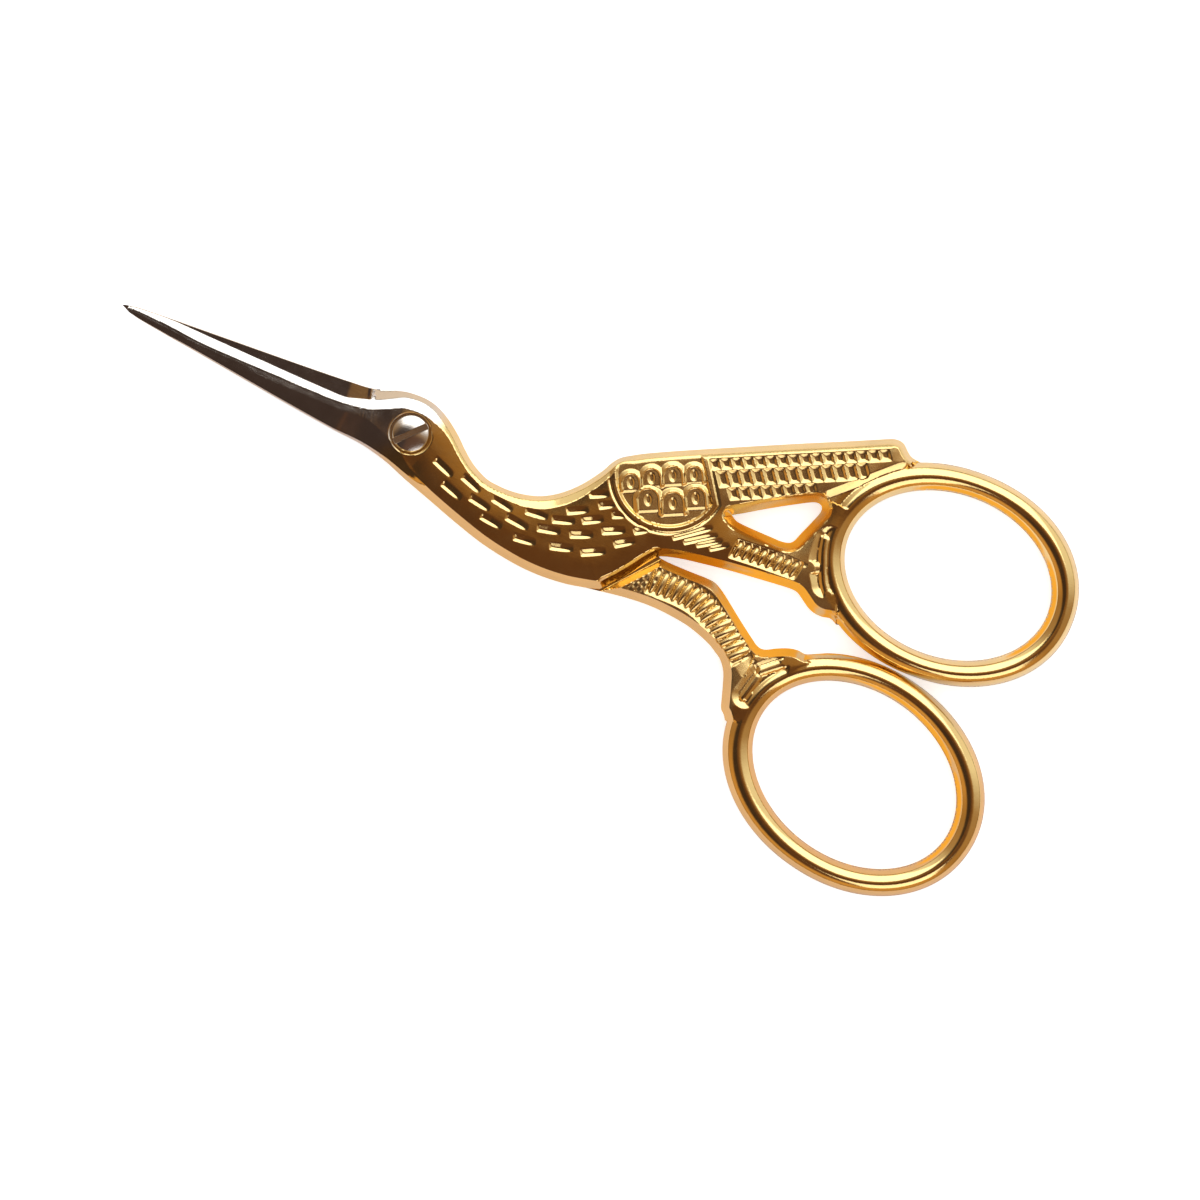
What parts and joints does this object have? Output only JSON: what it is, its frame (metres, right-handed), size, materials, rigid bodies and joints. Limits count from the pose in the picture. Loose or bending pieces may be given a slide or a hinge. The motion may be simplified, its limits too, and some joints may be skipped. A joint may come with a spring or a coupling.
{
  "type": "embroidery scissors",
  "caption": "Small scissors shaped as a wading bird: its beak is the blades, with a pivot screw for an eye and two oval finger bows behind the tail and legs.",
  "frame": {"origin": "on the pivot axis, in the plane that the closed scissors lie on", "axes": "+Z along the pivot axis towards the screw head, which is up as the scissors lie; +X from the tips towards the finger bows; +Y towards the bird's back"},
  "size_m": [0.0901, 0.0396, 0.0031],
  "materials": {
    "gilt_steel": "polished",
    "nickel_steel": "polished"
  },
  "bodies": {
    "back": {"back_half": "gilt_steel", "pivot_screw": "nickel_steel"},
    "front": {"front_half": "gilt_steel"}
  },
  "joints": [
    {"name": "pivot", "type": "hinge", "parent": "back", "child": "front", "pos_m": [0, 0, 0], "axis": [0, 0, 1], "range_deg": [0, 90]}
  ]
}
